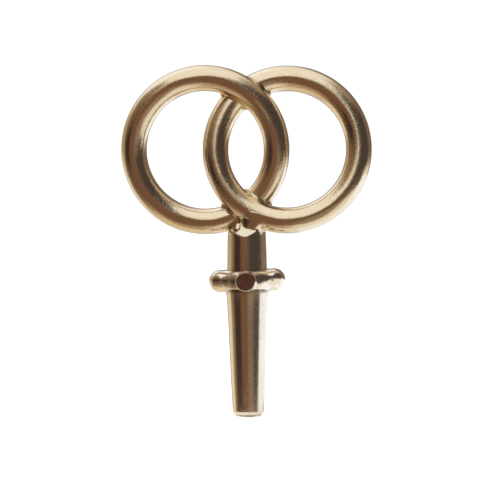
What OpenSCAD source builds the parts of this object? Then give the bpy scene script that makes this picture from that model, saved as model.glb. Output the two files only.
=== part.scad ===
// Radiator bleed key in brass. Two linked rings make its bow. Under them come a short stem,
// a collar with four lugs and a tapered barrel with a square socket in its end.
// The origin is the middle of the socket's mouth. +Z runs up the key to the bow, and the
// rings face -Y.

/* [Bow] */
// Diameter of each ring along the middle of its wire
ring_d = 37.2; // [36.4:0.2:38]
// Diameter of the ring wire
wire_d = 6.7; // [6.4:0.1:7]
// Distance between the two ring centres
ring_gap = 21.3; // [20.8:0.1:21.8]
// Height of the ring centres above the mouth
bow_z = 69.3; // [69:0.1:70]
// Angle each ring leans, so that it passes in front of the other and then behind it
ring_lean = 5.5; // [5:0.1:6]

/* [Stem] */
// Diameter of the stem between the collar and the bow
stem_d = 10.4; // [10.2:0.1:10.6]
// Diameter of the spigot that goes down into the barrel
spigot_d = 6.4; // [6.2:0.1:6.8]
// Length of the spigot
spigot_len = 15; // [12:0.5:16]

/* [Barrel] */
// Diameter of the barrel under the collar
barrel_top_d = 10.8; // [10.6:0.1:11]
// Diameter of the barrel at its mouth
barrel_mouth_d = 8.2; // [8.1:0.1:8.6]
// Width across the flats of the square socket
square_w = 5.1; // [5:0.05:5.2]
// Depth of the square socket
square_depth = 12; // [8:0.5:14]

/* [Collar] */
// Height of the middle of the collar above the mouth
collar_z = 35.2; // [34.8:0.1:35.6]
// Height of the sleeve between the lugs
sleeve_h = 4.8; // [4.4:0.1:5.2]
// Distance from tip to tip of the two side lugs
lug_span = 19.9; // [19:0.1:21]
// Diameter of a side lug
lug_d = 6.2; // [5.8:0.1:6.4]
// Distance from face to face of the front and back bosses
boss_span = 18.4; // [17:0.1:19]
// Diameter of a boss
boss_d = 5.4; // [5.2:0.1:5.8]

/* [Rivet] */
// Diameter of the rivet's two heads
head_d = 4.5; // [4.4:0.1:4.7]
// Thickness of each head
head_h = 1.7; // [1.4:0.1:2]
// Diameter of the rivet's body
rivet_d = 2.6; // [2.4:0.1:2.8]

/* [Braze] */
// Radius of the hollow fillets in the corners of the bow
web_r = 1; // [0.8:0.1:1.2]
// Thickness of those fillets from front to back
web_t = 2.4; // [2:0.1:2.8]

/* [Hidden] */
fine = 128;

// Signs for left and right, for the inside and outside of a ring, and for down and up
LEFT = -1;
RIGHT = 1;
INSIDE = -1;
OUTSIDE = 1;
DOWN = -1;
UP = 1;

ring_r = ring_d / 2;
wire_r = wire_d / 2;
ring_x = ring_gap / 2;
outer_r = ring_r + wire_r;
stem_r = stem_d / 2;
spigot_r = spigot_d / 2;
barrel_top_r = barrel_top_d / 2;
mouth_r = barrel_mouth_d / 2;

// The middles of the wires cross this far above and below the ring centres
crossing_h = sqrt(ring_r * ring_r - ring_x * ring_x);

sleeve_top_z = collar_z + sleeve_h / 2;
sleeve_low_z = collar_z - sleeve_h / 2;
sleeve_r = barrel_top_r + 0.6;
// The barrel's neck runs up inside the sleeve and stops just short of the stem's shoulder
neck_r = 4.4;
neck_gap = 0.2;
mouth_round = 1;
// A round drilling ends the socket, and a gap is left under the spigot
drill_r = 2.45;
drill_depth = square_depth + 1.6;
drill_point_h = 1.4;
spigot_end_gap = 0.4;

// The stem's domed top, which the saddles for the two rings are cut into
dome_top_z = bow_z - 18;
dome_round = 4.6;

// How far each fillet goes into the corner behind it before the rings are cut away
web_root = 1.6;
// A bead of braze at the front and back of the seat
bead_r = 1.7;
bead_pos = [-2.2, -2.9, 49.6];
cut = 0.5;

// The middle of a ring, and the point at distances a and b from the two ring middles
function ring_mid(side) = [side * ring_x, bow_z];
function meet_x(a, b) = (a * a - b * b) / (4 * ring_x);
function meet_h(a, x) = sqrt(a * a - (x + ring_x) * (x + ring_x));
function meet(a, b, up) = [meet_x(a, b), bow_z + up * meet_h(a, meet_x(a, b))];

// The point on the line from p to q that lies len beyond q
function beyond(p, q, len) = q + (q - p) * len / norm(q - p);

// The whole ring, before any saddle is cut
module round_ring(side) {
  translate([side * ring_x, 0, bow_z])
    rotate([90 - side * ring_lean, 0, 0])
      rotate_extrude($fn = fine)
        translate([ring_r, 0])
          circle(r = wire_r, $fn = fine);
}

// A block around one of the two places where the rings cross
module crossing_block(up) {
  translate([-ring_x, -2 * wire_r, bow_z + up * crossing_h - 2 * wire_r])
    cube([2 * ring_x, 4 * wire_r, 4 * wire_r]);
}

// The ring in front at a crossing is whole, and the one behind has a saddle cut for it
module ring(side) {
  difference() {
    round_ring(side);
    intersection() {
      round_ring(-side);
      crossing_block(side == LEFT ? DOWN : UP);
    }
  }
}

// A round bar along Z whose top edge is rounded
module round_bar(r, low, high, edge_r) {
  rotate_extrude($fn = fine)
    union() {
      translate([0, low])
        square([r, high - low - edge_r]);
      translate([0, low])
        square([r - edge_r, high - low]);
      intersection() {
        translate([r - edge_r, high - edge_r])
          circle(r = edge_r, $fn = fine);
        translate([r - edge_r, high - edge_r])
          square(edge_r);
      }
    }
}

// One hole across the collar, the barrel's neck and the spigot takes the rivet
module rivet_hole() {
  translate([0, 0, collar_z])
    rotate([90, 0, 0])
      cylinder(r = rivet_d / 2, h = 2 * boss_span, center = true, $fn = fine);
}

module stem() {
  difference() {
    union() {
      translate([0, 0, sleeve_top_z - spigot_len])
        cylinder(r = spigot_r, h = spigot_len + cut, $fn = fine);
      round_bar(stem_r, sleeve_top_z, dome_top_z, dome_round);
    }
    round_ring(LEFT);
    round_ring(RIGHT);
    rivet_hole();
  }
}

// The barrel's tapered outside, with its mouth rounded over
module barrel_skin() {
  rotate_extrude($fn = fine)
    union() {
      polygon([
        [0, mouth_round],
        [mouth_r, mouth_round],
        [barrel_top_r, sleeve_low_z],
        [0, sleeve_low_z],
      ]);
      square([mouth_r - mouth_round, mouth_round]);
      intersection() {
        translate([mouth_r - mouth_round, mouth_round])
          circle(r = mouth_round, $fn = fine);
        translate([mouth_r - mouth_round, 0])
          square(mouth_round);
      }
    }
}

module barrel() {
  difference() {
    union() {
      barrel_skin();
      translate([0, 0, sleeve_low_z - cut])
        cylinder(r = neck_r, h = sleeve_h - neck_gap + cut, $fn = fine);
    }
    translate([-square_w / 2, -square_w / 2, -cut])
      cube([square_w, square_w, square_depth + cut]);
    cylinder(r = drill_r, h = drill_depth, $fn = fine);
    translate([0, 0, drill_depth])
      cylinder(r1 = drill_r, r2 = 0, h = drill_point_h, $fn = fine);
    translate([0, 0, sleeve_top_z - spigot_len - spigot_end_gap])
      cylinder(r = spigot_r, h = spigot_len + 1, $fn = fine);
    rivet_hole();
  }
}

module side_lug(side) {
  translate([0, 0, collar_z])
    rotate([0, side * 90, 0])
      round_bar(lug_d / 2, 0, lug_span / 2, 2.4);
}

module boss(face) {
  translate([0, 0, collar_z])
    rotate([face * 90, 0, 0])
      round_bar(boss_d / 2, 0, boss_span / 2, 0.5);
}

// The sunk seat for one of the rivet's heads
module head_seat(face) {
  translate([0, 0, collar_z])
    rotate([face * 90, 0, 0])
      translate([0, 0, boss_span / 2 - head_h])
        cylinder(r = head_d / 2, h = head_h + cut, $fn = fine);
}

module lug_collar() {
  difference() {
    union() {
      translate([0, 0, sleeve_low_z])
        cylinder(r = sleeve_r, h = sleeve_h, $fn = fine);
      side_lug(LEFT);
      side_lug(RIGHT);
      boss(1);
      boss(-1);
    }
    translate([0, 0, sleeve_top_z])
      cylinder(r = stem_r, h = lug_d, $fn = fine);
    barrel_skin();
    translate([0, 0, sleeve_low_z - cut])
      cylinder(r = neck_r, h = sleeve_h + 2 * cut, $fn = fine);
    rivet_hole();
    head_seat(1);
    head_seat(-1);
  }
}

module rivet_head(face) {
  rotate([face > 0 ? 0 : 180, 0, 0])
    translate([0, 0, boss_span / 2 - head_h])
      cylinder(r = head_d / 2, h = head_h, $fn = fine);
}

module cross_rivet() {
  translate([0, 0, collar_z])
    rotate([90, 0, 0]) {
      cylinder(r = rivet_d / 2, h = boss_span - head_h, center = true, $fn = fine);
      rivet_head(1);
      rivet_head(-1);
    }
}

// A plate standing in a corner, hollowed by a round of radius web_r about mid.
// It reaches to the corner and to the two points where the round touches the metal.
module hollow_plate(mid, corner, touch_a, touch_b) {
  rotate([90, 0, 0])
    linear_extrude(height = web_t, center = true)
      difference() {
        polygon([
          beyond(mid, touch_a, -0.3 * web_r),
          beyond(mid, touch_a, web_root),
          beyond(mid, corner, web_root),
          beyond(mid, touch_b, web_root),
          beyond(mid, touch_b, -0.3 * web_r),
        ]);
        translate(mid)
          circle(r = web_r, $fn = fine);
      }
}

// A fillet in a corner between the rings, on the named face of the left and right rings
module ring_web(on_left, on_right, up) {
  a = ring_r + on_left * wire_r;
  b = ring_r + on_right * wire_r;
  mid = meet(a + on_left * web_r, b + on_right * web_r, up);
  left = ring_mid(LEFT);
  right = ring_mid(RIGHT);
  hollow_plate(
    mid,
    meet(a, b, up),
    left + (mid - left) * a / (a + on_left * web_r),
    right + (mid - right) * b / (b + on_right * web_r)
  );
}

module crossing_braze(up) {
  difference() {
    union() {
      ring_web(INSIDE, OUTSIDE, up);
      ring_web(OUTSIDE, INSIDE, up);
      ring_web(INSIDE, INSIDE, up);
    }
    round_ring(LEFT);
    round_ring(RIGHT);
  }
}

// A fillet between the side of the stem and the underside of the ring on that side
module stem_web(side) {
  mid_x = stem_r + web_r;
  mid_drop = sqrt((outer_r + web_r) * (outer_r + web_r) - (ring_x - mid_x) * (ring_x - mid_x));
  corner_drop = sqrt(outer_r * outer_r - (ring_x - stem_r) * (ring_x - stem_r));
  mid = [side * mid_x, bow_z - mid_drop];
  hub = ring_mid(side);
  translate([0, -side * web_t / 2, 0])
    hollow_plate(
      mid,
      [side * stem_r, bow_z - corner_drop],
      [side * stem_r, mid[1]],
      hub + (mid - hub) * outer_r / (outer_r + web_r)
    );
}

module braze_bow_seat() {
  difference() {
    union() {
      stem_web(LEFT);
      stem_web(RIGHT);
      translate(bead_pos)
        sphere(r = bead_r, $fn = fine);
      rotate([0, 0, 180])
        translate(bead_pos)
          sphere(r = bead_r, $fn = fine);
    }
    round_bar(stem_r, sleeve_top_z, dome_top_z, dome_round);
    round_ring(LEFT);
    round_ring(RIGHT);
  }
}

color("#b9924f") ring(LEFT);  // ring_left
color("#b9924f") ring(RIGHT);  // ring_right
color("#a98247") stem();
color("#a98247") barrel();
color("#c09a58") lug_collar();
color("#6a4a30") cross_rivet();
color("#d8b878") crossing_braze(UP);  // braze_top_crossing
color("#d8b878") crossing_braze(DOWN);  // braze_bottom_crossing
color("#d8b878") braze_bow_seat();
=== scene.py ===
import math

import bpy
import numpy as np
from mathutils import Matrix, Vector


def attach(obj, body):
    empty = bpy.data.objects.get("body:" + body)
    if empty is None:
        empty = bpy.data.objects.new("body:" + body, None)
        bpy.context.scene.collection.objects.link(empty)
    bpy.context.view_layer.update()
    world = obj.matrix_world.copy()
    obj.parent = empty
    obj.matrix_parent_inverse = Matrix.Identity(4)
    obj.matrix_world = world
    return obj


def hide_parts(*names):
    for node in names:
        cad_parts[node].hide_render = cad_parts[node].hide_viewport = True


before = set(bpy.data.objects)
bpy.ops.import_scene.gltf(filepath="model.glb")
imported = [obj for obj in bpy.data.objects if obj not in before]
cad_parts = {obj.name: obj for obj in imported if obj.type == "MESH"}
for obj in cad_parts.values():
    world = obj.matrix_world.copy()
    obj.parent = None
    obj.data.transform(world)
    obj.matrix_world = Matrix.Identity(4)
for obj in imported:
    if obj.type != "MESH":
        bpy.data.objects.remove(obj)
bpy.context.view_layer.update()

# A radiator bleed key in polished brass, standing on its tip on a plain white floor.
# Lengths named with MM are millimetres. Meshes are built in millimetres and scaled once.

MM = 0.001

# ---------------------------------------------------------------- camera, in metres and degrees

VIEW_DISTANCE = 0.3611
VIEW_AZIMUTH = 2.8
VIEW_ELEVATION = 0.6
VIEW_ROLL = 0.5
VIEW_TARGET = (0.0008, 0.0, 0.0432)
LENS = 100.0
SENSOR = 36.0


def add_camera():
    data = bpy.data.cameras.new("camera")
    data.lens = LENS
    data.sensor_width = SENSOR
    data.clip_start = 0.01
    data.clip_end = 50.0
    cam = bpy.data.objects.new("camera", data)
    bpy.context.scene.collection.objects.link(cam)
    az, el = math.radians(VIEW_AZIMUTH), math.radians(VIEW_ELEVATION)
    away = (math.sin(az) * math.cos(el), -math.cos(az) * math.cos(el), math.sin(el))
    cam.location = [t + VIEW_DISTANCE * a for t, a in zip(VIEW_TARGET, away)]
    look = -Vector(away)
    turn = look.to_track_quat("-Z", "Y").to_matrix()
    roll = Matrix.Rotation(math.radians(-VIEW_ROLL), 3, "Z")
    cam.rotation_euler = (turn @ roll).to_euler()
    bpy.context.scene.camera = cam


add_camera()

# ---------------------------------------------------------------- sizes, in mm

RING_R = 18.6  # from a ring's centre to the middle of its wire
WIRE_R = 3.35
RING_X = 10.65  # from the key's axis to each ring's centre
BOW_Z = 69.3
LEAN = math.radians(5.5)
COLLAR_Z = 35.2
SLEEVE_TOP = 37.6

# ---------------------------------------------------------------- mesh tools


def new_object(name, verts, faces):
    mesh = bpy.data.meshes.new(name)
    verts = np.asarray(verts, dtype=np.float64) * MM
    mesh.from_pydata(verts.tolist(), [], faces)
    mesh.validate()
    mesh.polygons.foreach_set("use_smooth", [True] * len(mesh.polygons))
    mesh.update()
    obj = bpy.data.objects.new(name, mesh)
    bpy.context.scene.collection.objects.link(obj)
    return obj


def set_attribute(obj, name, values):
    layer = obj.data.attributes.new(name, "FLOAT", "POINT")
    layer.data.foreach_set("value", np.asarray(values, dtype=np.float32).ravel())


def grid_faces(rows, cols, close_rows=False):
    """Quads of rows x cols points, where each row is a closed loop."""
    faces = []
    for i in range(rows if close_rows else rows - 1):
        a = i * cols
        b = ((i + 1) % rows) * cols
        for j in range(cols):
            k = (j + 1) % cols
            faces.append((a + j, a + k, b + k, b + j))
    return faces


def surface_net(field, low, high, step):
    """Closed mesh of the zero surface of field(x, y, z), with its inside negative.

    Each cell that the surface crosses gets one point, at the mean of the crossings on its
    edges. Each grid edge that the surface crosses joins the four cells round it as a quad.
    """
    axes = [np.arange(a - 2 * step, b + 2.5 * step, step) for a, b in zip(low, high)]
    x, y, z = np.meshgrid(*axes, indexing="ij")
    v = field(x, y, z).astype(np.float32)
    inside = v < 0
    total = np.zeros(tuple(n - 1 for n in v.shape), dtype=np.int8)
    for i in (0, 1):
        for j in (0, 1):
            for k in (0, 1):
                total += inside[i:v.shape[0] - 1 + i, j:v.shape[1] - 1 + j, k:v.shape[2] - 1 + k]
    cells = np.argwhere((total > 0) & (total < 8))
    index = -np.ones(total.shape, dtype=np.int64)
    index[tuple(cells.T)] = np.arange(len(cells))
    point = np.zeros((len(cells), 3))
    count = np.zeros(len(cells))
    for axis in range(3):
        others = [a for a in range(3) if a != axis]
        for p in (0, 1):
            for q in (0, 1):
                start = cells.copy()
                start[:, others[0]] += p
                start[:, others[1]] += q
                end = start.copy()
                end[:, axis] += 1
                va = v[tuple(start.T)]
                vb = v[tuple(end.T)]
                hit = (va < 0) != (vb < 0)
                t = np.where(hit, va / np.where(hit, va - vb, 1.0), 0.0)
                where = (start - cells).astype(float)
                where[:, axis] += t
                point += where * hit[:, None]
                count += hit
    verts = (cells + point / count[:, None]) * step + np.array([a[0] for a in axes])
    faces = []
    for axis in range(3):
        b, c = (axis + 1) % 3, (axis + 2) % 3
        lead = [slice(None)] * 3
        lead[axis] = slice(0, v.shape[axis] - 1)
        tail = [slice(None)] * 3
        tail[axis] = slice(1, v.shape[axis])
        cross = inside[tuple(lead)] != inside[tuple(tail)]
        edges = np.argwhere(cross)
        flip = inside[tuple(lead)][cross]
        quad = []
        for db, dc in ((-1, -1), (0, -1), (0, 0), (-1, 0)):
            cell = edges.copy()
            cell[:, b] += db
            cell[:, c] += dc
            quad.append(index[tuple(cell.T)])
        quad = np.stack(quad, axis=1)
        quad[~flip] = quad[~flip][:, ::-1]
        faces.append(quad)
    return verts, np.concatenate(faces)


def gradient(field, p, h=0.01):
    """How field changes along each axis at the points p, measured over h to either side."""
    g = np.zeros_like(p)
    for a in range(3):
        d = np.zeros(3)
        d[a] = h
        g[:, a] = (field(*(p + d).T) - field(*(p - d).T)) / (2 * h)
    return g


def settle(field, p, times=2, most=0.05):
    """Move points onto the zero surface of field, each by no more than most at a time."""
    for _ in range(times):
        f = field(*p.T)
        g = gradient(field, p)
        n = np.maximum((g * g).sum(axis=1), 0.05)
        move = (f / n)[:, None] * g
        size = np.linalg.norm(move, axis=1, keepdims=True)
        move *= np.minimum(1.0, most / np.maximum(size, 1e-9))
        p = p - move
    return p


def smin(a, b, k):
    """The lesser of two distances, rounded where they are less than k apart."""
    h = np.maximum(k - np.abs(a - b), 0.0) / k
    return np.minimum(a, b) - h * h * h * k / 6.0


def smax(a, b, k):
    return -smin(-a, -b, k)


def faded(distance, width):
    """1 on a surface and inside it, fading to 0 over a few widths outside."""
    return np.exp(-np.maximum(distance, 0.0) / width)


# ---------------------------------------------------------------- shapes as distances, mm


def ring_distance(side):
    """Distance to the wire of one ring: side is -1 for left and 1 for right."""
    s, c = math.sin(-side * LEAN), math.cos(-side * LEAN)

    def field(x, y, z):
        px = x - side * RING_X
        dz = z - BOW_Z
        py = c * y + s * dz
        pz = -s * y + c * dz
        return np.hypot(np.hypot(px, pz) - RING_R, py) - WIRE_R

    return field


LEFT_RING = ring_distance(-1)
RIGHT_RING = ring_distance(1)
SHADE_REACH = 0.28  # how far the painted shade reaches out of a corner


def sphere_distance(centre, r):
    cx, cy, cz = centre
    return lambda x, y, z: np.sqrt((x - cx) ** 2 + (y - cy) ** 2 + (z - cz) ** 2) - r


def ellipsoid_distance(centre, radii):
    """An approximate distance, true near the surface."""
    cx, cy, cz = centre
    a, b, c = radii

    def field(x, y, z):
        px, py, pz = x - cx, y - cy, z - cz
        k0 = np.sqrt((px / a) ** 2 + (py / b) ** 2 + (pz / c) ** 2)
        k1 = np.sqrt((px / a ** 2) ** 2 + (py / b ** 2) ** 2 + (pz / c ** 2) ** 2)
        return k0 * (k0 - 1.0) / np.maximum(k1, 1e-6)

    return field


def capsule_distance(p, q, r_p, r_q):
    """A rod with round ends from p to q, whose radius goes from r_p to r_q."""
    p, q = np.array(p, float), np.array(q, float)
    d = q - p
    length2 = float(d @ d)

    def field(x, y, z):
        t = ((x - p[0]) * d[0] + (y - p[1]) * d[1] + (z - p[2]) * d[2]) / length2
        t = np.clip(t, 0.0, 1.0)
        dx, dy, dz = x - p[0] - t * d[0], y - p[1] - t * d[1], z - p[2] - t * d[2]
        return np.sqrt(dx ** 2 + dy ** 2 + dz ** 2) - (r_p + (r_q - r_p) * t)

    return field


# ---------------------------------------------------------------- rings


def waves(angle, seed, terms=6):
    """A smooth closed curve of small waves between -1 and 1."""
    rng = np.random.default_rng(seed)
    total = np.zeros_like(angle)
    weight = 0.0
    for n in range(1, terms + 1):
        w = rng.uniform(0.4, 1.0) / n ** 0.6
        total += w * np.sin(n * angle + rng.uniform(0, 2 * math.pi))
        weight += w
    return total / weight


# Casting leaves the wire very slightly uneven, always inside its nominal size
UNEVEN = 0.035
OVAL = 0.03
# Arcs of the front crest that have rubbed on things, as angles round each ring in degrees
WORN_ARC = {-1: (20.0, 46.0), 1: (202.0, 237.0)}
WORN_WIDTH = 0.26
WORN_FADE = 5.0


def make_ring(name, side, seed):
    along, round_ = 480, 112
    u = np.linspace(0, 2 * math.pi, along, endpoint=False)[:, None]
    v = np.linspace(0, 2 * math.pi, round_, endpoint=False)[None, :]
    thin = UNEVEN * (1 + waves(u + 0 * v, seed)) * 0.5
    oval = OVAL * (1 + waves(3 * u + 2 * v, seed + 7)) * 0.5
    r = WIRE_R - thin - oval
    dist = RING_R + r * np.cos(v)
    px = dist * np.cos(u)
    pz = dist * np.sin(u)
    py = -r * np.sin(v) + 0 * u
    s, c = math.sin(-side * LEAN), math.cos(-side * LEAN)
    x = px + side * RING_X
    y = c * py - s * pz
    z = s * py + c * pz + BOW_Z
    verts = np.stack([x, y, z], axis=-1).reshape(-1, 3)
    faces = grid_faces(along, round_, close_rows=True)
    obj = new_object(name, verts, faces)
    # Painted shade: darker where this ring comes near the other ring or the stem
    other = RIGHT_RING if side < 0 else LEFT_RING
    gap = np.minimum(other(*verts.T), stem_field(*verts.T))
    set_attribute(obj, "painted_shade", faded(gap, SHADE_REACH))
    first, last = WORN_ARC[side]
    turn = np.degrees(u)
    arc = np.clip((turn - first) / WORN_FADE, 0, 1) * np.clip((last - turn) / WORN_FADE, 0, 1)
    across = (v - math.pi / 2 - 0.05) * WIRE_R / WORN_WIDTH
    set_attribute(obj, "worn", arc * np.exp(-across ** 2))
    return obj


# ---------------------------------------------------------------- brazed corners

SINK = 0.012  # the fillets end this far under the surface of what they join
GRIP = 0.35  # and they reach this far into it


def make_fillets(name, one, other, k, added, keep, low, high, step):
    """The metal that fills the corner between two shapes, as closed pieces.

    It shows where the smooth union of the shapes, with what added() puts on it, stands above
    both of them. Under that it reaches a little way into them, so that no gap shows.
    """
    def union(x, y, z):
        return added(x, y, z, smin(one(x, y, z), other(x, y, z), k)) + SINK

    def solid(x, y, z):
        base = np.minimum(one(x, y, z), other(x, y, z))
        top = union(x, y, z)
        rise = base - (top - SINK)
        f = np.maximum(top, -GRIP - base)
        f = np.maximum(f, 0.05 * SINK - rise)
        return np.maximum(f, keep(x, y, z))

    verts, faces = surface_net(solid, low, high, step)
    base = np.minimum(one(*verts.T), other(*verts.T))
    shown = base > -0.02
    verts[shown] = settle(union, verts[shown])
    obj = new_object(name, verts, faces.tolist())
    # Painted shade: darker near the surfaces the fillet joins, and in the pit and along the fold
    depth = np.maximum(one(*verts.T), 0) + np.maximum(other(*verts.T), 0)
    set_attribute(obj, "painted_shade", np.maximum(faded(depth, SHADE_REACH), seat_shade(*verts.T)))
    return obj


CROSSING_H = math.sqrt(RING_R ** 2 - RING_X ** 2)  # from the bow's middle to each crossing
CROSSING_REACH = 8.6
SIDE_WEB = (5.85, 14.47)  # to the side, and up or down from the bow's middle
INNER_WEB_H = 10.92


def make_crossing(name, up):
    """The filled corners of the top crossing, where up is 1, or of the bottom one, at -1."""
    mid_z = BOW_Z + up * CROSSING_H
    web_x, web_h = SIDE_WEB
    # Small webs stand to either side of the crossing and in the bow's inner corner
    webs = [
        sphere_distance((-web_x, 0.0, BOW_Z + up * web_h), 0.75),
        sphere_distance((web_x, 0.0, BOW_Z + up * web_h), 0.75),
        sphere_distance((0.0, 0.0, BOW_Z + up * INNER_WEB_H), 0.7),
    ]

    def with_webs(x, y, z, f):
        for web in webs:
            f = smin(f, web(x, y, z), 0.9)
        return f

    keep = sphere_distance((0.0, 0.0, mid_z), CROSSING_REACH)
    return make_fillets(name, LEFT_RING, RIGHT_RING, 1.1, with_webs, keep,
                        (-9.0, -5.5, mid_z - 5.5), (9.0, 5.5, mid_z + 5.5), 0.11)


# ---------------------------------------------------------------- stem

STEM_R_TOP = 4.95
STEM_R_LOW = 5.2
TAPER_TOP = 46.6
SHOULDER_LOW = 46.9
SHOULDER_HIGH = 48.6
SHOULDER_SLOPE = 1.6
CORE_X = 1.1
CORE_R = 4.05
CORE_TOP = 53.4


def stem_radius(z):
    t = np.clip((z - SLEEVE_TOP) / (TAPER_TOP - SLEEVE_TOP), 0.0, 1.4)
    return STEM_R_LOW + (STEM_R_TOP - STEM_R_LOW) * t


def stem_field(x, y, z):
    r = np.hypot(x, y)
    side = r - stem_radius(z)
    # The tube ends in a sloping shoulder, scooped lower near the middle, round a core
    u = np.where(y < 0, x, -x)
    edge = np.minimum(SHOULDER_LOW + 0.1 * (u + 0.5) ** 2, SHOULDER_HIGH)
    rise = (z - edge) - SHOULDER_SLOPE * (STEM_R_TOP - r)
    tube = smax(side, rise / math.hypot(1.0, SHOULDER_SLOPE), 0.3)
    # The core is oval and stands a little to the right, seen from either side
    core = np.hypot((u - CORE_X) / 0.8, y) - CORE_R
    return smax(smin(tube, core, 0.35), z - CORE_TOP, 0.5)


def make_stem():
    def field(x, y, z):
        return np.maximum(stem_field(x, y, z), SLEEVE_TOP - z)

    low, high = (-5.6, -5.6, SLEEVE_TOP), (5.6, 5.6, CORE_TOP + 0.2)
    verts, faces = surface_net(field, low, high, 0.13)
    top = verts[:, 2] > SLEEVE_TOP + 0.1
    verts[top] = settle(stem_field, verts[top])
    verts[~top, 2] = SLEEVE_TOP
    obj = new_object("stem_body", verts, faces.tolist())
    # Painted shade lies against the rings and on the collar's band
    gap = np.minimum(bow_field(*verts.T), verts[:, 2] - SLEEVE_TOP - 0.2)
    set_attribute(obj, "painted_shade", np.maximum(faded(gap, SHADE_REACH), seat_shade(*verts.T)))
    return obj


def bow_field(x, y, z):
    return smin(LEFT_RING(x, y, z), RIGHT_RING(x, y, z), 0.5)


# Metal that has run down and set, a pit between the runs, and a fold to their left that is only a
# painted line of shade
LUMP = capsule_distance((-2.2, -3.05, 48.6), (-1.95, -2.5, 49.6), 0.85, 0.75)
PAD_RIGHT = capsule_distance((1.6, -3.0, 52.0), (2.7, -2.9, 49.9), 1.6, 1.5)
PIT = ellipsoid_distance((0.0, -4.6, 50.9), (0.9, 2.4, 0.62))
FOLD_SHADE_LINE = capsule_distance((-4.5, -2.6, 50.6), (-3.0, -4.2, 46.8), 0.1, 0.1)


def seat_shade(x, y, z):
    """How much painted shade lies in the pit and along the fold, from 0 to 1."""
    return faded(np.minimum(PIT(x, y, z), FOLD_SHADE_LINE(x, y, z)), 0.3)


SEAT_Z = 49.0
SEAT_REACH = 7.6


def make_bow_seat():
    def with_runs(x, y, z, f):
        # The runs at the front come again at the back, turned half round
        for sign in (1, -1):
            f = smin(f, PAD_RIGHT(sign * x, sign * y, z), 1.2)
            f = smin(f, LUMP(sign * x, sign * y, z), 0.9)
        return smax(f, -PIT(x, y, z), 0.4)

    keep = sphere_distance((0.0, 0.0, SEAT_Z), SEAT_REACH)
    return make_fillets("bow_seat_braze", bow_field, stem_field, 0.8, with_runs, keep,
                        (-7.6, -7.6, 42.0), (7.6, 7.6, 56.8), 0.12)


# ---------------------------------------------------------------- collar

LUG_X = 7.05
LUG_R = 2.88
BAND_R = 6.15
BAND_DEPTH = 1.65
BAND_HALF = 2.75
BOSS_R = 2.45
BOSS_Y = 9.12
SEAT_R = 2.24
SEAT_Y = 7.55
BORE_R = 4.6
# How much each lug's end is lifted, and how much deeper it is above its middle than below
LUG_LIFT = {-1: -0.02, 1: 0.36}
LUG_EGG = {-1: 0.14, 1: 0.28}


def side_lug_field(side):
    """A round-ended lug, deeper from front to back at the collar than at its end."""
    lift, egg = LUG_LIFT[side], LUG_EGG[side]
    end = (side * LUG_X, 0, COLLAR_Z + lift)
    rod = capsule_distance((side * 2.0, 0, COLLAR_Z), end, 2.5, LUG_R)

    def field(x, y, z):
        along = np.clip((side * x - 3.0) / 5.0, 0, 1)
        high = np.clip((z - COLLAR_Z - lift * along) / LUG_R, -1, 1)
        depth = (1.6 - 0.6 * along) * (1.0 + egg * along * high)
        return rod(x, y / depth, z)

    return field


LUG_RIGHT = side_lug_field(1)
LUG_LEFT = side_lug_field(-1)


def collar_field(x, y, z):
    r = np.hypot(x, y)
    dz = z - COLLAR_Z
    # A band with a round rim, then the two lugs, then the bosses for the rivet
    out = (r - BAND_R + BAND_DEPTH) / BAND_DEPTH
    band = (np.hypot(out, dz / BAND_HALF) - 1.0) * BAND_DEPTH
    f = smin(band, LUG_RIGHT(x, y, z), 1.6)
    f = smin(f, LUG_LEFT(x, y, z), 1.6)
    boss = smax(np.hypot(x, dz) - BOSS_R, np.abs(y) - BOSS_Y, 0.3)
    return smin(f, boss, 0.9)


def make_collar():
    def field(x, y, z):
        f = collar_field(x, y, z)
        seat = np.maximum(np.hypot(x, z - COLLAR_Z) - SEAT_R, SEAT_Y - np.abs(y))
        bore = np.hypot(x, y) - BORE_R
        return np.maximum(np.maximum(f, -seat), -bore)

    verts, faces = surface_net(field, (-10.0, -9.3, 31.6), (10.0, 9.3, 38.8), 0.12)
    outer = np.abs(collar_field(*verts.T)) < 0.05
    verts[outer] = settle(collar_field, verts[outer])
    obj = new_object("collar_body", verts, faces.tolist())
    x, y, z = verts.T
    # Painted shade where the collar's bore meets the stem
    painted_shade = faded(np.hypot(x, y) - STEM_R_LOW, 0.5 * SHADE_REACH)
    # Painted shade lies round the upper edge of each rivet head
    off = np.abs(np.hypot(x, z - COLLAR_Z) - SEAT_R - 0.06)
    upper = np.clip((z - COLLAR_Z + 0.4) / 0.8, 0, 1)
    head_top_shade = faded(off, 0.2) * upper * (np.abs(y) > BOSS_Y - 0.42)
    set_attribute(obj, "painted_shade", np.maximum(painted_shade, head_top_shade))
    return obj


# ---------------------------------------------------------------- rivet


HEAD_R = 2.2
HEAD_EDGE = 0.12
HEAD_FACE = 9.16
HEAD_UNDER = 7.62
SHANK_R = 1.3


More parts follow.
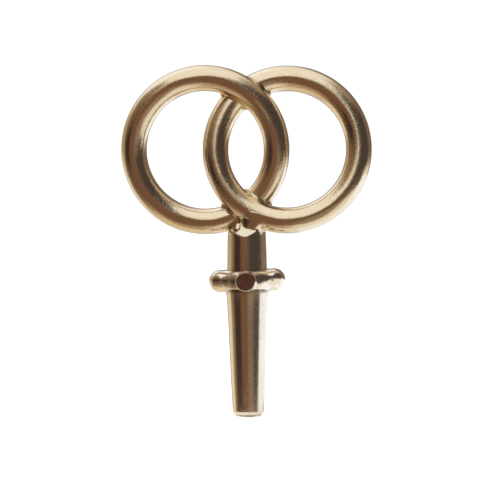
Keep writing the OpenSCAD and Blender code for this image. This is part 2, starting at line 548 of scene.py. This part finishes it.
def make_rivet():
    """A rod with a flat head at each end, whose rims are barely broken."""
    n = 96
    rim_r = HEAD_R - HEAD_EDGE
    # Radius and distance from the middle, from the face's centre round to the shank
    half = [(0.6, HEAD_FACE - 0.01), (1.4, HEAD_FACE), (rim_r - 0.02, HEAD_FACE), (rim_r, HEAD_FACE)]
    for i in range(1, 6):
        t = math.radians(90 * i / 5)
        half.append((rim_r + HEAD_EDGE * math.sin(t), HEAD_FACE - HEAD_EDGE + HEAD_EDGE * math.cos(t)))
    half += [(HEAD_R, 8.4), (HEAD_R, HEAD_UNDER), (SHANK_R, HEAD_UNDER - 0.02), (SHANK_R, 4.0)]
    profile = half + [(r, -y) for r, y in reversed(half)]
    verts = []
    for r, y in profile:
        for j in range(n):
            t = 2 * math.pi * j / n
            verts.append((r * math.cos(t), y, COLLAR_Z + r * math.sin(t)))
    rows = len(profile)
    faces = [f[::-1] for f in grid_faces(rows, n)]
    top = len(verts)
    verts.append((0, HEAD_FACE, COLLAR_Z))
    verts.append((0, -HEAD_FACE, COLLAR_Z))
    for j in range(n):
        k = (j + 1) % n
        faces.append((top, j, k))
        faces.append((top + 1, (rows - 1) * n + k, (rows - 1) * n + j))
    return new_object("rivet_pin", verts, faces)


# ---------------------------------------------------------------- barrel

BARREL_TOP = 33.4  # inside the collar
TIP_ROUND = 1.6
LIP = 0.12  # the round on the socket's edge
SOCKET_HALF = 2.55
SOCKET_CORNER = 0.25
SOCKET_DEPTH = 12.0
DRILL_R = 2.45
DRILL_DEPTH = 13.6
DRILL_POINT = 15.0


def socket_radius(angle):
    """Distance from the axis to the square socket's wall, with its corners eased."""
    c, s = np.abs(np.cos(angle)), np.abs(np.sin(angle))
    flat = SOCKET_HALF / np.maximum(c, s)
    # The corner's own small round, met from the middle of its arc
    m = SOCKET_HALF - SOCKET_CORNER
    cc = np.cos(np.abs((angle % (math.pi / 2)) - math.pi / 4))
    b = m * math.sqrt(2) * cc
    disc = np.maximum(b * b - 2 * m * m + SOCKET_CORNER ** 2, 0.0)
    arc = b + np.sqrt(disc)
    return np.where(np.minimum(c, s) * flat > m, arc, flat)


def barrel_outline():
    """Radius and height of the barrel's outside, from the collar down to the tip's round."""
    spots = [(BARREL_TOP, 5.62), (32.6, 5.6), (31.7, 5.5), (30.9, 5.36), (29.4, 5.25), (25.5, 5.07),
             (22.4, 4.93), (19.2, 4.80), (16.1, 4.68), (11.4, 4.52), (8.3, 4.36), (4.4, 4.18),
             (2.6, 4.1), (TIP_ROUND, 4.02)]
    z, r = np.array(spots[::-1]).T
    fit = np.polynomial.polynomial.Polynomial.fit(z, r, 5)
    heights = np.linspace(BARREL_TOP, TIP_ROUND, 90)
    return heights, fit(heights)


def make_barrel():
    n, tip_steps, lip_steps = 256, 24, 5
    angle = np.linspace(0, 2 * math.pi, n, endpoint=False)
    # Rows of a radius and a height at each angle, down the outside and up the inside
    rows = [(np.full(n, r), np.full(n, z)) for z, r in zip(*barrel_outline())]
    tip_centre = rows[-1][0] - TIP_ROUND
    wall = socket_radius(angle)

    def tip_z(r):
        d = np.clip((r - tip_centre) / TIP_ROUND, 0.0, 1.0)
        return TIP_ROUND - TIP_ROUND * np.sqrt(np.maximum(1 - d * d, 0.0))

    for i in range(1, tip_steps + 1):
        # Even steps of angle round the tip, as far as the socket's softened edge
        d = math.cos(math.radians(90 * i / tip_steps))
        r = np.maximum(tip_centre + TIP_ROUND * d, wall + LIP)
        rows.append((r, tip_z(r)))
    edge_z = tip_z(wall + LIP)
    for i in range(1, lip_steps + 1):
        t = math.radians(90 * i / lip_steps)
        rows.append((wall + LIP - LIP * math.sin(t), edge_z + LIP - LIP * math.cos(t)))
    for z in (2.2, 6.0, SOCKET_DEPTH):
        rows.append((wall, np.full(n, z)))
    drill = np.minimum(DRILL_R, wall)
    for z in (SOCKET_DEPTH + 0.02, DRILL_DEPTH):
        rows.append((drill, np.full(n, z)))
    rows.append((np.full(n, 0.05), np.full(n, DRILL_POINT)))
    verts = [np.stack([r * np.cos(angle), r * np.sin(angle), z], axis=1) for r, z in rows]
    faces = [f[::-1] for f in grid_faces(len(rows), n)]
    top = n * len(rows)
    verts = np.concatenate([*verts, [[0, 0, BARREL_TOP], [0, 0, DRILL_POINT]]])
    last = (len(rows) - 1) * n
    for j in range(n):
        k = (j + 1) % n
        faces.append((top, j, k))
        faces.append((top + 1, last + k, last + j))
    obj = new_object("barrel_tube", verts, faces)
    x, y, z = verts.T
    # Painted shade sits under the collar, round the lip of the mouth and inside it
    under = faded(COLLAR_Z - BAND_HALF + 0.05 - z, SHADE_REACH)
    lip_shade = np.clip((0.85 - z) / 0.3, 0, 1)
    inside = np.hypot(x, y) < 3.0
    set_attribute(obj, "painted_shade", np.maximum(np.maximum(under, lip_shade), inside * 0.8))
    # A rubbed patch low on the front, and light wear all round the lower half
    patch = np.exp(-((x + 0.5) / 1.1) ** 2 - ((z - 6.5) / 3.4) ** 4) * (y < 0)
    low_wear = np.clip((14.0 - z) / 10.0, 0, 1)
    set_attribute(obj, "worn", np.maximum(0.38 * patch, 0.10 * low_wear))
    return obj


# ---------------------------------------------------------------- materials


def node(tree, kind, **inputs):
    item = tree.nodes.new(kind)
    for key, value in inputs.items():
        item.inputs[key.replace("_", " ")].default_value = value
    return item


def map_range(tree, value, span, result):
    item = tree.nodes.new("ShaderNodeMapRange")
    item.inputs["From Min"].default_value = span[0]
    item.inputs["From Max"].default_value = span[1]
    item.inputs["To Min"].default_value = result[0]
    item.inputs["To Max"].default_value = result[1]
    tree.links.new(value, item.inputs["Value"])
    return item.outputs["Result"]


def combine(tree, operation, one, other):
    item = tree.nodes.new("ShaderNodeMath")
    item.operation = operation
    tree.links.new(one, item.inputs[0])
    tree.links.new(other, item.inputs[1])
    return item.outputs[0]


def mix_colour(tree, factor, one, other):
    item = tree.nodes.new("ShaderNodeMix")
    item.data_type = "RGBA"
    tree.links.new(factor, item.inputs["Factor"])
    for key, value in (("A", one), ("B", other)):
        if isinstance(value, tuple):
            item.inputs[key].default_value = (*value, 1)
        else:
            tree.links.new(value, item.inputs[key])
    return item.outputs["Result"]


STAIN = (0.2, 0.13, 0.08)
# The dark brown of the painted shade in corners, hollows and under parts
SHADE_COLOUR = (0.12, 0.08, 0.05)


def brass(name, colour, rough, pits, scratches):
    mat = bpy.data.materials.new(name)
    mat.use_nodes = True
    tree = mat.node_tree
    tree.nodes.clear()
    link = tree.links.new
    out = tree.nodes.new("ShaderNodeOutputMaterial")
    shader = tree.nodes.new("ShaderNodeBsdfPrincipled")
    shader.inputs["Metallic"].default_value = 1.0
    link(shader.outputs["BSDF"], out.inputs["Surface"])
    coord = tree.nodes.new("ShaderNodeTexCoord")

    def noise(scale, detail, roughness):
        item = node(tree, "ShaderNodeTexNoise", Scale=scale, Detail=detail, Roughness=roughness)
        link(coord.outputs["Object"], item.inputs["Vector"])
        return item.outputs["Fac"]

    def attribute(kind):
        item = tree.nodes.new("ShaderNodeAttribute")
        item.attribute_name = kind
        return item.outputs["Fac"]

    cloud = noise(260.0, 5.0, 0.6)
    stain = noise(1400.0, 4.0, 0.7)
    haze = noise(900.0, 6.0, 0.65)
    ripple = noise(420.0, 2.0, 0.5)
    mottle = noise(1500.0, 3.0, 0.6)
    grain = noise(3200.0, 4.0, 0.7)
    painted_shade = attribute("painted_shade")
    spots = map_range(tree, grain, (0.44, 0.58), (0.0, 1.0))
    worn = combine(tree, "MULTIPLY", attribute("worn"), spots)

    # Slow changes of alloy colour, small brown stains, and painted shade in the corners
    shifted = tuple(c * t for c, t in zip(colour, (0.93, 0.86, 0.74)))
    base = mix_colour(tree, cloud, tuple(colour), shifted)
    stained = tuple(0.5 * c + 0.5 * d for c, d in zip(colour, STAIN))
    base = mix_colour(tree, map_range(tree, stain, (0.60, 0.74), (0.0, 0.5)), base, stained)
    # Painted shade: the brass turns dark brown where the attribute marks corners and hollows
    shade_mask = combine(tree, "MULTIPLY", painted_shade, map_range(tree, haze, (0.3, 0.6), (0.3, 0.8)))
    base = mix_colour(tree, shade_mask, base, SHADE_COLOUR)
    link(base, shader.inputs["Base Color"])

    # Roughness from a haze of fine wear, more where the metal is rubbed or carries painted shade
    gloss = map_range(tree, haze, (0.3, 0.75), (rough * 0.8, rough * 1.6))
    rubbed = map_range(tree, worn, (0.0, 1.0), (0.0, 0.42))
    gloss = combine(tree, "ADD", gloss, rubbed)
    gloss = combine(tree, "ADD", gloss, map_range(tree, shade_mask, (0.0, 1.0), (0.0, 0.25)))
    link(gloss, shader.inputs["Roughness"])

    # Ripples left by casting, a fine mottle, pits, and hair scratches
    normal = None
    stretch = tree.nodes.new("ShaderNodeMapping")
    stretch.inputs["Scale"].default_value = (9000.0, 9000.0, 500.0)
    stretch.inputs["Rotation"].default_value = (0.5, 0.3, 0.2)
    link(coord.outputs["Object"], stretch.inputs["Vector"])
    hair = node(tree, "ShaderNodeTexNoise", Scale=1.0, Detail=2.0)
    link(stretch.outputs["Vector"], hair.inputs["Vector"])
    pit = map_range(tree, grain, (0.56, 0.72), (1.0, 0.0))
    layers = ((ripple, 0.35, 0.00006), (mottle, 0.4, 0.00003), (pit, pits, 0.00007),
              (worn, 0.8, 0.00005), (hair.outputs["Fac"], scratches, 0.00002))
    for height, strength, distance in layers:
        bump = tree.nodes.new("ShaderNodeBump")
        bump.inputs["Strength"].default_value = strength
        bump.inputs["Distance"].default_value = distance
        link(height, bump.inputs["Height"])
        if normal is not None:
            link(normal, bump.inputs["Normal"])
        normal = bump.outputs["Normal"]
    link(normal, shader.inputs["Normal"])
    return mat


BRASS = (0.86, 0.74, 0.55)
RING_BRASS = brass("ring_brass", BRASS, 0.10, pits=0.22, scratches=0.14)
STEM_BRASS = brass("stem_brass", (0.85, 0.75, 0.59), 0.10, pits=0.15, scratches=0.12)
BARREL_BRASS = brass("barrel_brass", (0.89, 0.79, 0.63), 0.11, pits=0.14, scratches=0.15)
# Painted highlight: the collar's brass is paler than the rest so that its lugs shine near white
COLLAR_BRASS_PAINTED_HIGHLIGHT = brass("collar_brass", (0.95, 0.87, 0.75), 0.10, pits=0.15, scratches=0.12)
RIVET_BRASS = brass("rivet_brass", (0.30, 0.17, 0.13), 0.34, pits=0.3, scratches=0.2)
BRAZE = brass("braze", BRASS, 0.10, pits=0.22, scratches=0.14)

# ---------------------------------------------------------------- pieces


def finish_piece(obj, mat, slot, *nodes):
    obj.data.materials.clear()
    obj.data.materials.append(mat)
    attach(obj, "root")
    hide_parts(*nodes)


finish_piece(make_ring("ring_left_wire", -1, 11), RING_BRASS, "ring_brass", "ring_left")
finish_piece(make_ring("ring_right_wire", 1, 23), RING_BRASS, "ring_brass", "ring_right")
finish_piece(make_crossing("top_crossing_braze", 1), BRAZE, "braze", "braze_top_crossing")
finish_piece(make_crossing("bottom_crossing_braze", -1), BRAZE, "braze", "braze_bottom_crossing")
finish_piece(make_stem(), STEM_BRASS, "stem_brass", "stem")
finish_piece(make_bow_seat(), BRAZE, "braze", "braze_bow_seat")
finish_piece(make_collar(), COLLAR_BRASS_PAINTED_HIGHLIGHT, "collar_brass", "lug_collar")
finish_piece(make_rivet(), RIVET_BRASS, "rivet_brass", "cross_rivet")
finish_piece(make_barrel(), BARREL_BRASS, "barrel_brass", "barrel")

# ---------------------------------------------------------------- floor


FLOOR_HALF = 2.5
CARD_Z = -0.002
TIP_CARD_R = 0.0147
# The table card's front edge runs back to the right, so that nothing in front reflects it
TABLE_CARD = ((0.02, -0.005), (0.33, -0.07), (0.33, 0.5), (0.02, 0.5))


def flat_object(name, outline, z, mat):
    mesh = bpy.data.meshes.new(name)
    mesh.from_pydata([(x, y, z) for x, y in outline], [], [tuple(range(len(outline)))])
    mesh.update()
    mesh.materials.append(mat)
    obj = bpy.data.objects.new(name, mesh)
    bpy.context.scene.collection.objects.link(obj)
    return obj


def add_floor():
    mat = bpy.data.materials.new("floor_white")
    mat.use_nodes = True
    shader = mat.node_tree.nodes["Principled BSDF"]
    shader.inputs["Base Color"].default_value = (0.9, 0.9, 0.9, 1)
    shader.inputs["Roughness"].default_value = 0.9
    shader.inputs["Specular IOR Level"].default_value = 0.0
    shader.inputs["Emission Color"].default_value = (1, 1, 1, 1)
    shader.inputs["Emission Strength"].default_value = 0.75
    s = FLOOR_HALF
    floor = flat_object("floor", ((-s, -s), (s, -s), (s, s), (-s, s)), 0, mat)
    floor.visible_glossy = False


def glow_material(name):
    """A material that only gives light, with its emission node for a colour."""
    mat = bpy.data.materials.new(name)
    mat.use_nodes = True
    tree = mat.node_tree
    tree.nodes.clear()
    glow = tree.nodes.new("ShaderNodeEmission")
    out = tree.nodes.new("ShaderNodeOutputMaterial")
    tree.links.new(glow.outputs["Emission"], out.inputs["Surface"])
    return mat, glow


def add_card(name, outline, mat):
    """A flat card that only reflections see."""
    card = flat_object(name, outline, CARD_Z, mat)
    card.visible_camera = False
    card.visible_diffuse = False
    card.visible_shadow = False


def add_table_card():
    """White paper to the right of the key, a little brighter further away."""
    mat, glow = glow_material("table_card_white")
    tree = mat.node_tree
    coord = tree.nodes.new("ShaderNodeTexCoord")
    part = tree.nodes.new("ShaderNodeSeparateXYZ")
    tree.links.new(coord.outputs["Object"], part.inputs["Vector"])
    far = map_range(tree, part.outputs["X"], (0.05, 0.16), (0.0, 1.0))
    tone = mix_colour(tree, far, (1.04, 1.12, 1.28), (1.12, 1.24, 1.46))
    tree.links.new(tone, glow.inputs["Color"])
    add_card("table_card", TABLE_CARD, mat)


def add_tip_card():
    """The bright floor close round the tip."""
    mat, glow = glow_material("tip_card_white")
    glow.inputs["Color"].default_value = (0.98, 0.96, 0.96, 1)
    n = 48
    turns = [2 * math.pi * i / n for i in range(n)]
    add_card("tip_card", [(TIP_CARD_R * math.cos(t), TIP_CARD_R * math.sin(t)) for t in turns], mat)


add_floor()
add_table_card()
add_tip_card()

# ---------------------------------------------------------------- studio


def add_studio():
    world = bpy.data.worlds.new("studio")
    bpy.context.scene.world = world
    world.use_nodes = True
    tree = world.node_tree
    tree.nodes.clear()
    link = tree.links.new
    out = tree.nodes.new("ShaderNodeOutputWorld")
    coord = tree.nodes.new("ShaderNodeTexCoord")
    part = tree.nodes.new("ShaderNodeSeparateXYZ")
    link(coord.outputs["Generated"], part.inputs["Vector"])

    def math_node(op, *values):
        item = tree.nodes.new("ShaderNodeMath")
        item.operation = op
        for slot, value in zip(item.inputs, values):
            if isinstance(value, (int, float)):
                slot.default_value = value
            else:
                link(value, slot)
        return item.outputs[0]

    def degrees(angle):
        return math_node("MULTIPLY", angle, 180 / math.pi)

    # Azimuth from the front, positive to the right, and elevation, both in degrees
    front = math_node("MULTIPLY", part.outputs["Y"], -1.0)
    az = degrees(math_node("ARCTAN2", part.outputs["X"], front))
    el = degrees(math_node("ARCSINE", part.outputs["Z"]))

    def ramp(value, start, end):
        item = tree.nodes.new("ShaderNodeMapRange")
        item.interpolation_type = "SMOOTHSTEP"
        item.inputs["From Min"].default_value = start
        item.inputs["From Max"].default_value = end
        link(value, item.inputs["Value"])
        return item.outputs["Result"]

    def card(az_range, el_range, soft_az, soft_el):
        """A soft-edged patch of the studio, 1 inside it and 0 outside."""
        def band(value, span, soft):
            return math_node("MULTIPLY", ramp(value, span[0] - soft, span[0] + soft),
                             ramp(value, span[1] + soft, span[1] - soft))

        return math_node("MULTIPLY", band(az, az_range, soft_az), band(el, el_range, soft_el))

    def seen(red, green, blue):
        """The light that looks like this screen colour in the brass."""
        return tuple((c / 255) ** 2.2 / b for c, b in zip((red, green, blue), BRASS))

    def paint(under, mask, colour):
        item = tree.nodes.new("ShaderNodeMix")
        item.data_type = "RGBA"
        link(mask, item.inputs["Factor"])
        if isinstance(under, tuple):
            item.inputs["A"].default_value = (*under, 1)
        else:
            link(under, item.inputs["A"])
        item.inputs["B"].default_value = (*colour, 1)
        return item.outputs["Result"]

    # Below: a gold floor, paler to the right and dimmer in front on the left
    sky = paint(seen(217, 192, 150), ramp(az, 0, 30), seen(230, 212, 182))
    sky = paint(sky, card((-80, -2), (-84, -30), 16, 12), seen(166, 138, 102))
    # Above: cream, nearly white to the left
    sky = paint(sky, ramp(el, 44, 64), seen(234, 219, 194))
    sky = paint(sky, card((-170, -70), (30, 90), 22, 16), seen(250, 240, 220))
    # The left wall, with a dim part nearer the front and a gold one low at the back
    sky = paint(sky, card((-146, -30), (-48, 24), 16, 14), seen(168, 140, 102))
    sky = paint(sky, card((-160, -104), (-40, -2), 12, 6), seen(230, 206, 168))
    sky = paint(sky, card((-100, -30), (-44, 44), 12, 10), seen(134, 108, 77))
    sky = paint(sky, card((-82, -30), (-34, 22), 10, 10), seen(100, 78, 59))
    # The right wall, dark near the front and warmer further back
    sky = paint(sky, card((28, 172), (-4, 60), 12, 6), seen(148, 124, 98))
    sky = paint(sky, card((28, 166), (-2, 44), 10, 6), seen(120, 95, 75))
    sky = paint(sky, card((5, 76), (-18, 0), 12, 5), seen(88, 73, 60))
    sky = paint(sky, card((5, 94), (-8, 40), 12, 6), seen(73, 63, 54))
    # The dark room in front
    sky = paint(sky, card((-46, 14), (-36, 14), 8, 10), seen(98, 76, 58))
    sky = paint(sky, card((0, 38), (-44, -8), 9, 7), seen(144, 119, 92))
    sky = paint(sky, card((-42, 4), (-52, 14), 7, 8), seen(112, 80, 58))
    sky = paint(sky, card((-76, -36), (-13, 8), 7, 5), seen(58, 47, 40))
    # A bright ceiling light, narrow near the front and wide overhead
    left = math_node("MULTIPLY_ADD", az, -0.8, 7.0)
    right = math_node("MULTIPLY_ADD", az, 0.85, 16.0)
    edge = math_node("SUBTRACT", el, math_node("MAXIMUM", left, right))
    wedge = math_node("MULTIPLY", ramp(edge, -5, 8), ramp(math_node("ABSOLUTE", az), 100, 60))
    sky = paint(sky, wedge, seen(240, 226, 200))

    # The dim far side of the room, which draws a thin dark line round every edge
    toward = math_node("MULTIPLY_ADD", part.outputs["Z"], 0.1, part.outputs["Y"])
    behind = degrees(math_node("ARCCOSINE", toward))
    sky = paint(sky, ramp(behind, 46, 18), seen(112, 96, 80))

    reflect = tree.nodes.new("ShaderNodeBackground")
    link(sky, reflect.inputs["Color"])
    plain = tree.nodes.new("ShaderNodeBackground")
    plain.inputs["Color"].default_value = (1, 1, 1, 1)
    plain.inputs["Strength"].default_value = 1.05
    path = tree.nodes.new("ShaderNodeLightPath")
    mix = tree.nodes.new("ShaderNodeMixShader")
    link(path.outputs["Is Camera Ray"], mix.inputs["Fac"])
    link(reflect.outputs["Background"], mix.inputs[1])
    link(plain.outputs["Background"], mix.inputs[2])
    link(mix.outputs["Shader"], out.inputs["Surface"])


add_studio()

scene = bpy.context.scene
scene.view_settings.view_transform = "Standard"
scene.view_settings.look = "None"
scene.view_settings.exposure = 0.0
scene.view_settings.gamma = 1.0
